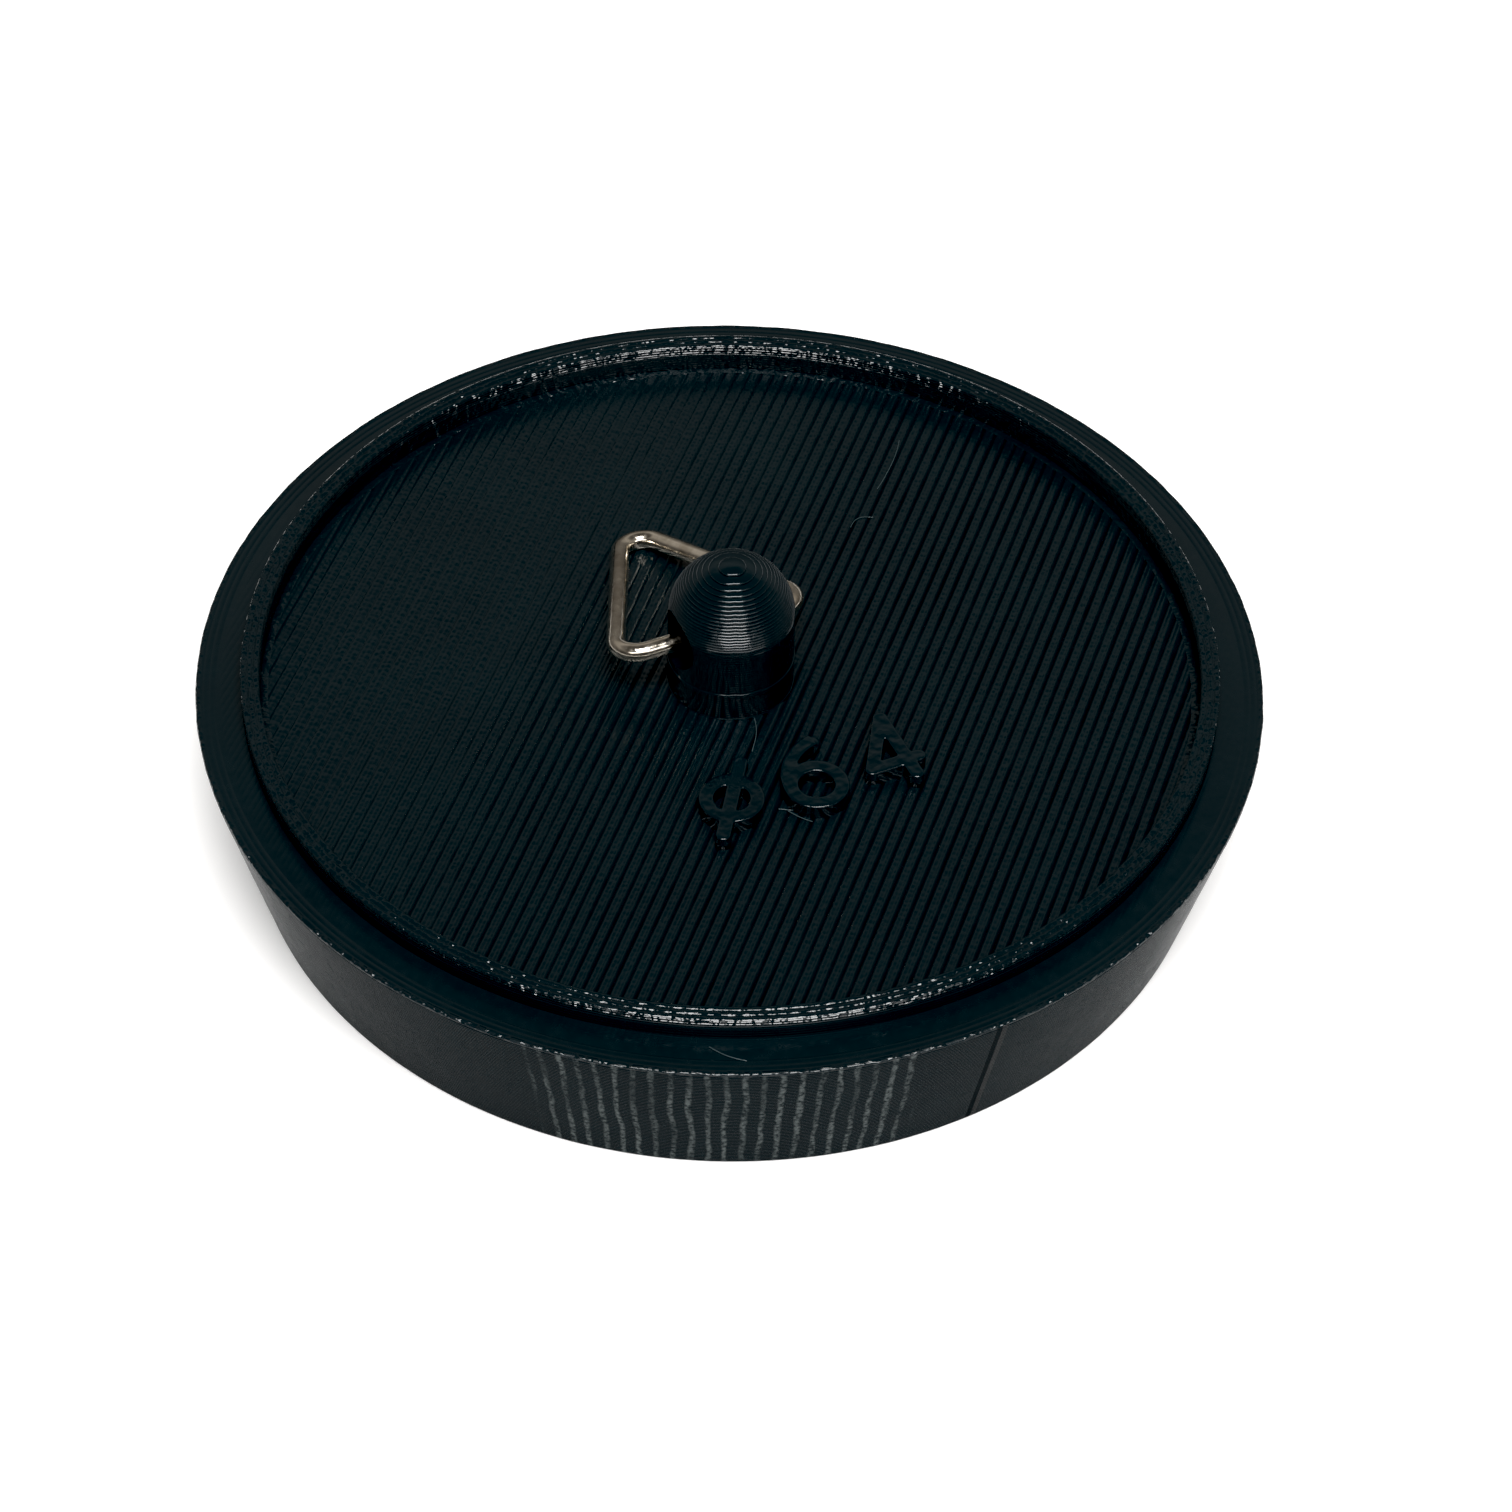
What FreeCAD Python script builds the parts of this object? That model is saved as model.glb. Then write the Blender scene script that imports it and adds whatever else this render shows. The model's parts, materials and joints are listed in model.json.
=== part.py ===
import FreeCAD, Part
import math
import os

import Sketcher
from FreeCAD import Placement, Rotation, Vector

# A tapered sink and drain plug: a printed disc with a raised ridge on its upper face, a domed
# knob at its middle, a raised size mark in front of the knob, and a triangular wire ring that
# swings in the knob's cross hole.
#
# Millimetres. The origin is at the middle of the underside, +Z is up, +X runs along the cross
# hole, and the size mark is on the -Y side of the knob.

doc = FreeCAD.newDocument("sink_plug")

# Driving dimensions: alias, value, what it measures.
sizes = [
    ("foot_radius", 31.5, "radius of the flat underside"),
    ("rim_radius", 34.5, "radius at the top of the tapered wall, the widest place"),
    ("disc_height", 11.6, "underside to the flat flange"),
    ("floor_drop", 0.4, "the floor inside the ridge lies this far below the flange"),
    ("ridge_inner", 30.3, "inner radius of the raised ridge"),
    ("ridge_outer", 31.5, "outer radius of the raised ridge"),
    ("ridge_height", 1.6, "ridge above the flange"),
    ("ridge_round", 0.2, "chamfer along both upper edges of the ridge"),
    ("knob_radius", 4.1, "radius of the knob's post and of its dome"),
    ("knob_shoulder", 5.2, "flange to the middle of the dome"),
    ("hole_diameter", 4.0, "cross hole through the knob"),
    ("hole_level", 4.3, "flange to the middle of the cross hole"),
    ("wire_diameter", 1.25, "wire of the pull ring"),
    ("wire_level", 3.3, "flange to the wire's axis, low in the cross hole"),
    ("wire_back", 0.75, "the wire's axis lies this far behind the hole's middle"),
    ("ring_base", 14.0, "base of the sharp-cornered wire triangle, along its centre line"),
    ("ring_rise", 15.5, "base to apex of the same triangle"),
    ("ring_bend", 1.5, "centre-line radius of the three bends"),
    ("ring_shift", 0.8, "the ring's apex lies this far to -X of the knob's middle"),
    ("ring_gap", 0.4, "gap between the wire's two ends, inside the hole"),
    ("ring_tilt", 14.0, "degrees that the ring hangs below level, its apex near the floor"),
    ("mark_tall", 6.3, "height of one character"),
    ("mark_wide", 4.2, "width of one character"),
    ("mark_stroke", 0.95, "width of a character's stroke"),
    ("mark_raise", 1.0, "characters above the floor"),
    ("mark_pitch", 5.4, "from one character to the next"),
    ("mark_middle", 0.5, "X of the middle character"),
    ("mark_front", 10.9, "the characters' middle line lies this far to -Y of the knob"),
]
sheet = doc.addObject("Spreadsheet::Sheet", "sheet")
for row, (alias, value, note) in enumerate(sizes, start=1):
    sheet.set("A%d" % row, alias)
    sheet.set("B%d" % row, str(value))
    sheet.set("C%d" % row, note)
    sheet.setAlias("B%d" % row, alias)
doc.recompute()
size = {alias: value for alias, value, note in sizes}


# A length is written as aliases to add up, with a minus before those to take away.
def amount(terms):
    total = 0.0
    for term in terms.split():
        total += -size[term[1:]] if term[0] == "-" else size[term]
    return total


def formula(terms):
    words = []
    for term in terms.split():
        words.append("- sheet." + term[1:] if term[0] == "-" else "+ sheet." + term)
    return "0 mm " + " ".join(word + " * 1 mm" for word in words)


floorLevel = "disc_height -floor_drop"
shoulderLevel = "disc_height knob_shoulder"
holeLevel = "disc_height hole_level"
wireLevel = "disc_height wire_level"


def newBody(label):
    body = doc.addObject("PartDesign::Body", label)
    body.Label = label
    return body


def newSketch(body, name, role):
    sketch = body.newObject("Sketcher::SketchObject", name)
    plane = [feature for feature in body.Origin.OriginFeatures if feature.Role == role][0]
    sketch.AttachmentSupport = [(plane, "")]
    sketch.MapMode = "FlatFace"
    return sketch


def setLevel(sketch, terms):
    sketch.AttachmentOffset = Placement(Vector(0, 0, amount(terms)), Rotation())
    sketch.setExpression("AttachmentOffset.Base.z", formula(terms))


def dimension(sketch, kind, refs, name, terms):
    index = sketch.addConstraint(Sketcher.Constraint(kind, *refs, amount(terms)))
    sketch.renameConstraint(index, name)
    sketch.setExpression("Constraints." + name, formula(terms))


# Puts one end of an edge at (across, up) from the sketch's origin. An empty length is an axis.
def placeEnd(sketch, edge, end, name, across, up):
    if across:
        dimension(sketch, "DistanceX", (-1, 1, edge, end), name + "_across", across)
    else:
        sketch.addConstraint(Sketcher.Constraint("PointOnObject", edge, end, -2))
    if up:
        dimension(sketch, "DistanceY", (-1, 1, edge, end), name + "_up", up)
    else:
        sketch.addConstraint(Sketcher.Constraint("PointOnObject", edge, end, -1))


# Closed straight outline through named corners.
def addOutline(sketch, corners):
    points = [Vector(amount(across), amount(up), 0) for name, across, up in corners]
    last = len(points) - 1
    for i, point in enumerate(points):
        following = points[0] if i == last else points[i + 1]
        sketch.addGeometry(Part.LineSegment(point, following), False)
    for i, (name, across, up) in enumerate(corners):
        sketch.addConstraint(Sketcher.Constraint("Coincident", i, 1, (i - 1) % (last + 1), 2))
        placeEnd(sketch, i, 1, name, across, up)


def addCircle(sketch, name, radiusTerms):
    circle = Part.Circle(Vector(0, 0, 0), Vector(0, 0, 1), amount(radiusTerms))
    index = sketch.addGeometry(circle, False)
    sketch.addConstraint(Sketcher.Constraint("Coincident", index, 3, -1, 1))
    dimension(sketch, "Radius", (index,), name, radiusTerms)


def revolve(body, sketch, name):
    turned = body.newObject("PartDesign::Revolution", name)
    turned.Profile = sketch
    turned.ReferenceAxis = (sketch, ["V_Axis"])
    turned.Angle = 360
    return turned


# Plug disc: a solid tapered wall, a flat flange round its top and a floor just below it.
plugDisc = newBody("plug_disc")
discProfile = newSketch(plugDisc, "discProfile", "XZ_Plane")
addOutline(discProfile, [
    ("middle", "", ""),
    ("foot", "foot_radius", ""),
    ("rim", "rim_radius", "disc_height"),
    ("step", "ridge_inner", "disc_height"),
    ("floor", "ridge_inner", floorLevel),
    ("centre", "", floorLevel),
])
revolve(plugDisc, discProfile, "discTurned")

# Rim ridge: a thin upright ring that stands on the flange, flush with the floor's edge.
rimRidge = newBody("rim_ridge")
ridgePlan = newSketch(rimRidge, "ridgePlan", "XY_Plane")
setLevel(ridgePlan, "disc_height")
addCircle(ridgePlan, "outer", "ridge_outer")
addCircle(ridgePlan, "inner", "ridge_inner")
ridgePad = rimRidge.newObject("PartDesign::Pad", "ridgePad")
ridgePad.Profile = ridgePlan
ridgePad.setExpression("Length", formula("ridge_height"))
doc.recompute()
ridgeTop = amount("disc_height ridge_height")
topEdges = []
for number, edge in enumerate(ridgePad.Shape.Edges, start=1):
    if edge.Closed and abs(edge.BoundBox.ZMin - ridgeTop) < 0.01:
        topEdges.append("Edge%d" % number)
ridgeEdge = rimRidge.newObject("PartDesign::Chamfer", "ridgeEdge")
ridgeEdge.Base = (ridgePad, topEdges)
ridgeEdge.setExpression("Size", formula("ridge_round"))

# Pull knob: an upright post with a half-round top, and a hole straight across it.
pullKnob = newBody("pull_knob")
knobProfile = newSketch(pullKnob, "knobProfile", "XZ_Plane")
knobRadius = amount("knob_radius")
domeMiddle = Vector(0, amount(shoulderLevel), 0)
knobFoot = Vector(knobRadius, amount(floorLevel), 0)
knobCentre = Vector(0, amount(floorLevel), 0)
knobShoulder = domeMiddle + Vector(knobRadius, 0, 0)
knobTip = domeMiddle + Vector(0, knobRadius, 0)
domeCircle = Part.Circle(domeMiddle, Vector(0, 0, 1), knobRadius)
knobProfile.addGeometry(Part.LineSegment(knobCentre, knobFoot), False)
knobProfile.addGeometry(Part.LineSegment(knobFoot, knobShoulder), False)
knobProfile.addGeometry(Part.ArcOfCircle(domeCircle, 0, math.pi / 2), False)
knobProfile.addGeometry(Part.LineSegment(knobTip, knobCentre), False)
knobProfile.addConstraint(Sketcher.Constraint("Coincident", 0, 2, 1, 1))
knobProfile.addConstraint(Sketcher.Constraint("Tangent", 1, 2, 2, 1))
knobProfile.addConstraint(Sketcher.Constraint("Coincident", 2, 2, 3, 1))
knobProfile.addConstraint(Sketcher.Constraint("Coincident", 3, 2, 0, 1))
knobProfile.addConstraint(Sketcher.Constraint("PointOnObject", 2, 2, -2))
knobProfile.addConstraint(Sketcher.Constraint("Vertical", 1))
placeEnd(knobProfile, 0, 1, "centre", "", floorLevel)
placeEnd(knobProfile, 0, 2, "foot", "knob_radius", floorLevel)
placeEnd(knobProfile, 2, 3, "dome", "", shoulderLevel)
knobTurned = revolve(pullKnob, knobProfile, "knobTurned")
holePlan = newSketch(pullKnob, "holePlan", "YZ_Plane")
holeCircle = Part.Circle(Vector(0, amount(holeLevel), 0), Vector(0, 0, 1), amount("hole_diameter") / 2)
holePlan.addGeometry(holeCircle, False)
placeEnd(holePlan, 0, 3, "hole", "", holeLevel)
dimension(holePlan, "Diameter", (0,), "bore", "hole_diameter")
doc.recompute()
knobHole = pullKnob.newObject("PartDesign::Pocket", "knobHole")
knobHole.Profile = holePlan
knobHole.Type = "ThroughAll"
knobHole.Midplane = True
doc.recompute()
if knobHole.Shape.Volume > knobTurned.Shape.Volume - 60:
    raise RuntimeError("the cross hole has cut nothing")

# Size mark: three raised characters, a diameter sign and two digits, built from strokes about
# each character's own middle and then set in place.
halfTall = amount("mark_tall") / 2
halfWide = amount("mark_wide") / 2
stroke = amount("mark_stroke")


def strokeRing(name, x, y, radius, arcStart=0, arcLength=360):
    outer = doc.addObject("Part::Cylinder", name + "Outer")
    inner = doc.addObject("Part::Cylinder", name + "Inner")
    for cylinder, reach in ((outer, radius), (inner, radius - stroke)):
        cylinder.Radius = reach
        cylinder.Angle = arcLength
        cylinder.Placement = Placement(Vector(x, y, 0), Rotation(Vector(0, 0, 1), arcStart))
        cylinder.setExpression("Height", formula("mark_raise"))
    inner.Angle = 360
    ring = doc.addObject("Part::Cut", name)
    ring.Base = outer
    ring.Tool = inner
    return [ring]


def strokeBar(name, x1, y1, x2, y2):
    run = Vector(x2 - x1, y2 - y1, 0)
    across = Vector(-run.y, run.x, 0).normalize() * (stroke / 2)
    turn = Rotation(Vector(0, 0, 1), math.degrees(math.atan2(run.y, run.x)))
    bar = doc.addObject("Part::Box", name)
    bar.Length = run.Length
    bar.setExpression("Width", formula("mark_stroke"))
    bar.setExpression("Height", formula("mark_raise"))
    bar.Placement = Placement(Vector(x1, y1, 0) - across, turn)
    made = [bar]
    for end, (x, y) in enumerate(((x1, y1), (x2, y2))):
        cap = doc.addObject("Part::Cylinder", "%sEnd%d" % (name, end))
        cap.setExpression("Radius", formula("mark_stroke") + " - sheet.mark_stroke * 0.5 mm")
        cap.setExpression("Height", formula("mark_raise"))
        cap.Placement = Placement(Vector(x, y, 0), Rotation())
        made.append(cap)
    return made


def character(name, strokes, acrossTerms):
    glyph = doc.addObject("Part::MultiFuse", name)
    glyph.Shapes = strokes
    glyph.Placement = Placement(
        Vector(amount(acrossTerms), -amount("mark_front"), amount(floorLevel)), Rotation())
    glyph.setExpression("Placement.Base.x", formula(acrossTerms))
    glyph.setExpression("Placement.Base.y", formula("-mark_front"))
    glyph.setExpression("Placement.Base.z", formula(floorLevel))
    return glyph


slashX = halfWide * 0.86
slashY = halfTall - stroke / 2
signStrokes = strokeRing("signRing", 0, 0, halfWide)
signStrokes += strokeBar("signSlash", -slashX, -slashY, slashX, slashY)
markSign = character("markSign", signStrokes, "mark_middle -mark_pitch")

bowlY = halfWide - halfTall
sixStrokes = strokeRing("sixBowl", 0, bowlY, halfWide)
sixStrokes += strokeRing("sixStem", halfWide, bowlY, 2 * halfWide, 100, 80)
markSix = character("markSix", sixStrokes, "mark_middle")

stemX = halfWide * 0.4
crossY = -halfTall * 0.42
endX = halfWide - stroke / 2
endY = halfTall - stroke / 2
fourStrokes = strokeBar("fourStem", stemX, -endY, stemX, endY)
fourStrokes += strokeBar("fourCross", -endX, crossY, endX, crossY)
fourStrokes += strokeBar("fourSlope", -endX, crossY, stemX, endY)
markFour = character("markFour", fourStrokes, "mark_middle mark_pitch")

sizeMark = doc.addObject("Part::Compound", "size_mark")
sizeMark.Label = "size_mark"
sizeMark.Links = [markSign, markSix, markFour]

# Pull ring: round wire bent to a triangle whose base runs through the knob's cross hole, where
# its two ends nearly meet. The sketch has the base along its X axis and the apex at +Y.
pullRing = newBody("pull_ring")
halfBase = amount("ring_base") / 2
rise = amount("ring_rise")
bend = amount("ring_bend")
shift = amount("ring_shift")
gapHalf = amount("ring_gap") / 2
baseCorner = math.atan2(rise, halfBase)
apexCorner = math.pi - 2 * baseCorner
baseReach = halfBase - bend / math.tan(baseCorner / 2)
apexReach = rise - bend / math.sin(apexCorner / 2)
baseAngle = "atan(2 * sheet.ring_rise / sheet.ring_base)"
reachText = "(sheet.ring_base / 2 - sheet.ring_bend / tan(%s / 2)) * 1 mm" % baseAngle
apexText = "(sheet.ring_rise - sheet.ring_bend / cos(%s)) * 1 mm" % baseAngle

ringPath = newSketch(pullRing, "ringPath", "XY_Plane")
rightCentre = Vector(baseReach - shift, bend, 0)
apexCentre = Vector(-shift, apexReach, 0)
leftCentre = Vector(-baseReach - shift, bend, 0)
legOut = Vector(math.sin(baseCorner), math.cos(baseCorner), 0) * bend
legOutLeft = Vector(-legOut.x, legOut.y, 0)
down = Vector(0, -bend, 0)


def bendArc(centre, startAngle, endAngle):
    circle = Part.Circle(centre, Vector(0, 0, 1), bend)
    return Part.ArcOfCircle(circle, startAngle, endAngle)


legAngle = math.pi / 2 - baseCorner
ringPath.addGeometry([
    Part.LineSegment(Vector(gapHalf, 0, 0), rightCentre + down),
    bendArc(rightCentre, -math.pi / 2, legAngle),
    Part.LineSegment(rightCentre + legOut, apexCentre + legOut),
    bendArc(apexCentre, legAngle, math.pi - legAngle),
    Part.LineSegment(apexCentre + legOutLeft, leftCentre + legOutLeft),
    bendArc(leftCentre, math.pi - legAngle, 3 * math.pi / 2),
    Part.LineSegment(leftCentre + down, Vector(-gapHalf, 0, 0)),
], False)
for edge, nextEnd in ((0, 1), (1, 1), (2, 1), (3, 1), (4, 1), (5, 1)):
    ringPath.addConstraint(Sketcher.Constraint("Tangent", edge, 2, edge + 1, nextEnd))
for edge in (1, 3, 5):
    dimension(ringPath, "Radius", (edge,), "bend%d" % edge, "ring_bend")


def placeCentre(edge, name, centre, acrossText, upText):
    for kind, word, value, text in (
        ("DistanceX", "_across", centre.x, acrossText),
        ("DistanceY", "_up", centre.y, upText),
    ):
        index = ringPath.addConstraint(Sketcher.Constraint(kind, -1, 1, edge, 3, value))
        ringPath.renameConstraint(index, name + word)
        ringPath.setExpression("Constraints." + name + word, text)


shiftText = "sheet.ring_shift * 1 mm"
bendText = "sheet.ring_bend * 1 mm"
placeCentre(1, "right", rightCentre, reachText + " - " + shiftText, bendText)
placeCentre(3, "apex", apexCentre, "0 mm - " + shiftText, apexText)
placeCentre(5, "left", leftCentre, "0 mm - " + reachText + " - " + shiftText, bendText)
ringPath.addConstraint(Sketcher.Constraint("PointOnObject", 0, 1, -1))
ringPath.addConstraint(Sketcher.Constraint("PointOnObject", 6, 2, -1))
for edge, end, name, sign in ((0, 1, "gapRight", 1), (6, 2, "gapLeft", -1)):
    index = ringPath.addConstraint(Sketcher.Constraint("DistanceX", -1, 1, edge, end, sign * gapHalf))
    ringPath.renameConstraint(index, name)
    ringPath.setExpression("Constraints." + name, "%d * sheet.ring_gap / 2 * 1 mm" % sign)

wireSection = newSketch(pullRing, "wireSection", "YZ_Plane")
wireSection.AttachmentOffset = Placement(Vector(0, 0, gapHalf), Rotation())
wireSection.setExpression("AttachmentOffset.Base.z", "sheet.ring_gap / 2 * 1 mm")
wireSection.addGeometry(Part.Circle(Vector(0, 0, 0), Vector(0, 0, 1), amount("wire_diameter") / 2), False)
wireSection.addConstraint(Sketcher.Constraint("Coincident", 0, 3, -1, 1))
dimension(wireSection, "Diameter", (0,), "wire", "wire_diameter")
doc.recompute()
ringWire = pullRing.newObject("PartDesign::AdditivePipe", "ringWire")
ringWire.Profile = wireSection
ringWire.Spine = (ringPath, ["Edge%d" % number for number in range(1, 8)])

# The ring turns about its straight side, and hangs below level. The angle is kept positive by
# turning about -X, so that the sheet can drive it.
pullRing.Placement = Placement(
    Vector(0, amount("wire_back"), amount(wireLevel)),
    Rotation(Vector(-1, 0, 0), size["ring_tilt"]))
pullRing.setExpression("Placement.Base.y", formula("wire_back"))
pullRing.setExpression("Placement.Base.z", formula(wireLevel))
pullRing.setExpression("Placement.Rotation.Angle", "sheet.ring_tilt * 1 deg")

doc.recompute()
for thing in doc.Objects:
    if "Invalid" in thing.State or "Error" in thing.State:
        raise RuntimeError("%s is %s" % (thing.Name, thing.State))

subParts = [plugDisc, rimRidge, pullKnob, sizeMark, pullRing]
for part in subParts:
    shape = part.Shape
    if shape.isNull() or not shape.isValid() or not shape.Solids:
        raise RuntimeError(part.Label + " has no valid solid")

os.makedirs("parts", exist_ok=True)
for part in subParts:
    part.Shape.exportStep("parts/%s.step" % part.Label)
    box = part.Shape.BoundBox
    print("%-10s %d solid(s) %9.2f mm3  X %.2f..%.2f  Y %.2f..%.2f  Z %.2f..%.2f" % (
        part.Label, len(part.Shape.Solids), part.Shape.Volume,
        box.XMin, box.XMax, box.YMin, box.YMax, box.ZMin, box.ZMax))
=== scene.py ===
import json
import math

import bpy
import numpy as np
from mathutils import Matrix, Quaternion, Vector, noise

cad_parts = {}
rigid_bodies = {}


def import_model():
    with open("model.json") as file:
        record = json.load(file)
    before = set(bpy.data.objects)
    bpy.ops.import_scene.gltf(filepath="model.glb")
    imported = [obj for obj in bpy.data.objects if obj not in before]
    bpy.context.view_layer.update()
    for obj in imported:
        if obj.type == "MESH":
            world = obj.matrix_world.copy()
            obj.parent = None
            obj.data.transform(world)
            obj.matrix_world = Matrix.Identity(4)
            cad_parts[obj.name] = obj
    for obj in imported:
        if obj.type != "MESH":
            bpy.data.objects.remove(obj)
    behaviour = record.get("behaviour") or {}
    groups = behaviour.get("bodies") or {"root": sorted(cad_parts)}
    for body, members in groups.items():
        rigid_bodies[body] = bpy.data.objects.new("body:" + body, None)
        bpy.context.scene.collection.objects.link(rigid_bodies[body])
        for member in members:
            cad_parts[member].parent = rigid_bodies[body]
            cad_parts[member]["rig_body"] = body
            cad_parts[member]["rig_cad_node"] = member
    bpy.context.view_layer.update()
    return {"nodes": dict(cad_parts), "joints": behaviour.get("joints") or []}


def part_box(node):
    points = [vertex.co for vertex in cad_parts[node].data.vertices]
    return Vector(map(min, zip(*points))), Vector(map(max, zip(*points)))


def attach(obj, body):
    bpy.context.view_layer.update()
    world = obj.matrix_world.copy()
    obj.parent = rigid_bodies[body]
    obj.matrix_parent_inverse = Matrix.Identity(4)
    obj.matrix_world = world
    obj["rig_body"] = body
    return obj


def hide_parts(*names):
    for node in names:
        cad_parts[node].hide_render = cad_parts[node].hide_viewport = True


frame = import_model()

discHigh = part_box("plug_disc")[1]
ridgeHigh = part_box("rim_ridge")[1]
knobLow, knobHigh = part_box("pull_knob")
markLow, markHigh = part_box("size_mark")
hinge = Vector(frame["joints"][0]["pos_m"])
flangeLevel = discHigh.z
floorLevel = knobLow.z
layer = 0.0002            # one printed layer
lineWide = 0.000405       # one printed line


# Camera, on the side of the size mark and a little to the left of it
view = {
    "turn": -25.3,        # degrees from straight along +Y
    "rise": 44.45,
    "distance": 0.3079,   # to the middle of the flange
    "lens": 113.4,
    "nearest": 0.01,      # nothing nearer than this is drawn
    "aimRight": 0.0057,   # the aim, off the flange's middle, in radians
    "aimDown": 0.0178,
    "roll": 0.0241,
}


def directionAt(turnDegrees, riseDegrees):
    a, e = math.radians(turnDegrees), math.radians(riseDegrees)
    return Vector((math.sin(a) * math.cos(e), -math.cos(a) * math.cos(e), math.sin(e)))


turn = math.radians(view["turn"])
towards = directionAt(view["turn"], view["rise"])
rightward = Vector((math.cos(turn), math.sin(turn), 0))
upward = rightward.cross(-towards)
cameraData = bpy.data.cameras.new("camera")
camera = bpy.data.objects.new("camera", cameraData)
bpy.context.scene.collection.objects.link(camera)
bpy.context.scene.camera = camera
cameraData.lens = view["lens"]
cameraData.clip_start = view["nearest"]
camera.location = Vector((0, 0, flangeLevel)) + towards * view["distance"]
aim = -towards + rightward * view["aimRight"] - upward * view["aimDown"]
camera.rotation_mode = "QUATERNION"
camera.rotation_quaternion = aim.to_track_quat("-Z", "Y") @ Quaternion((0, 0, 1), view["roll"])
print("camera placed")


# Small helpers
def clearSelection():
    if bpy.context.object and bpy.context.object.mode != "OBJECT":
        bpy.ops.object.mode_set(mode="OBJECT")
    bpy.ops.object.select_all(action="DESELECT")


def takeNew(name):
    piece = bpy.context.object
    piece.name = name
    piece.data.name = name
    return piece


def editAll():
    bpy.ops.object.mode_set(mode="EDIT")
    bpy.ops.mesh.select_all(action="SELECT")


def pushOut(step):
    bpy.ops.mesh.extrude_region_move(TRANSFORM_OT_translate={"value": step})


def settle(piece, angle=40):
    clearSelection()
    piece.select_set(True)
    bpy.context.view_layer.objects.active = piece
    bpy.ops.object.transform_apply(location=True, rotation=True, scale=True)
    bpy.ops.object.shade_smooth_by_angle(angle=math.radians(angle))


# An outline of (radius, height) pairs is drawn point by point and spun round the Z axis.
def turnOutline(name, outline, steps, closed=False):
    clearSelection()
    radius, height = outline[0]
    bpy.ops.mesh.primitive_plane_add(size=lineWide, location=(radius, 0, height))
    piece = takeNew(name)
    editAll()
    bpy.ops.mesh.merge(type="CENTER")
    for before, after in zip(outline, outline[1:]):
        pushOut((after[0] - before[0], 0, after[1] - before[1]))
    bpy.ops.mesh.select_all(action="SELECT")
    if closed:
        bpy.ops.object.mode_set(mode="OBJECT")
        ends = len(piece.data.vertices) - 1
        bpy.ops.object.mode_set(mode="EDIT")
        bpy.ops.mesh.select_all(action="DESELECT")
        bpy.ops.object.mode_set(mode="OBJECT")
        piece.data.vertices[0].select = True
        piece.data.vertices[ends].select = True
        bpy.ops.object.mode_set(mode="EDIT")
        bpy.ops.mesh.edge_face_add()
        bpy.ops.mesh.select_all(action="SELECT")
    bpy.ops.mesh.spin(steps=steps, angle=2 * math.pi, center=(0, 0, 0), axis=(0, 0, 1))
    bpy.ops.mesh.select_all(action="SELECT")
    bpy.ops.mesh.remove_doubles(threshold=2e-7)
    bpy.ops.mesh.normals_make_consistent(inside=False)
    bpy.ops.object.mode_set(mode="OBJECT")
    return piece


def points(piece):
    flat = np.empty(len(piece.data.vertices) * 3)
    piece.data.vertices.foreach_get("co", flat)
    return flat.reshape(-1, 3)


def setPoints(piece, place):
    piece.data.vertices.foreach_set("co", place.ravel())
    piece.data.update()


# Smooth repeatable unevenness round a turned piece: radius grows by amount * noise.
def unevenRound(piece, amount, around, upright, seed, seamTurn=None, seamDeep=0.0):
    place = points(piece)
    radius = np.hypot(place[:, 0], place[:, 1])
    angle = np.arctan2(place[:, 1], place[:, 0])
    push = np.empty(len(place))
    for i, (a, height) in enumerate(zip(angle, place[:, 2])):
        spot = Vector((math.cos(a) * around, math.sin(a) * around, height / upright + seed))
        push[i] = (noise.noise(spot) - 1) * amount
    if seamTurn is not None:
        off = np.abs(np.angle(np.exp(1j * (angle - math.radians(seamTurn))))) * radius
        push = push + seamDeep * np.exp(-(off / (0.6 * lineWide)) ** 2)
    keep = radius > 1e-5
    scale = np.where(keep, (radius + push * keep) / np.maximum(radius, 1e-9), 1.0)
    place[:, 0] *= scale
    place[:, 1] *= scale
    setPoints(piece, place)


# Materials
def startMaterial(name):
    material = bpy.data.materials.new(name)
    material.use_nodes = True
    nodes = material.node_tree.nodes
    links = material.node_tree.links
    shader = nodes["Principled BSDF"]
    coords = nodes.new("ShaderNodeTexCoord")
    return material, nodes, links, shader, coords.outputs["Object"]


def mathNode(nodes, links, operation, a, b=None):
    node = nodes.new("ShaderNodeMath")
    node.operation = operation
    for socket, value in zip(node.inputs, (a, b)):
        if value is None:
            continue
        if isinstance(value, (int, float)):
            socket.default_value = value
        else:
            links.new(value, socket)
    return node.outputs["Value"]


def noiseNode(nodes, links, coords, scale, detail=2.0, stretch=(1, 1, 1)):
    mapping = nodes.new("ShaderNodeMapping")
    mapping.inputs["Scale"].default_value = stretch
    links.new(coords, mapping.inputs["Vector"])
    texture = nodes.new("ShaderNodeTexNoise")
    texture.inputs["Scale"].default_value = scale
    texture.inputs["Detail"].default_value = detail
    links.new(mapping.outputs["Vector"], texture.inputs["Vector"])
    return texture.outputs["Fac"]


def rampNode(nodes, links, value, low, high, outLow, outHigh):
    node = nodes.new("ShaderNodeMapRange")
    node.inputs["From Min"].default_value = low
    node.inputs["From Max"].default_value = high
    node.inputs["To Min"].default_value = outLow
    node.inputs["To Max"].default_value = outHigh
    links.new(value, node.inputs["Value"])
    return node.outputs["Result"]


def bumpNode(nodes, links, height, distance, strength=1.0, before=None):
    node = nodes.new("ShaderNodeBump")
    node.inputs["Distance"].default_value = distance
    node.inputs["Strength"].default_value = strength
    links.new(height, node.inputs["Height"])
    if before is not None:
        links.new(before, node.inputs["Normal"])
    return node.outputs["Normal"]


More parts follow.
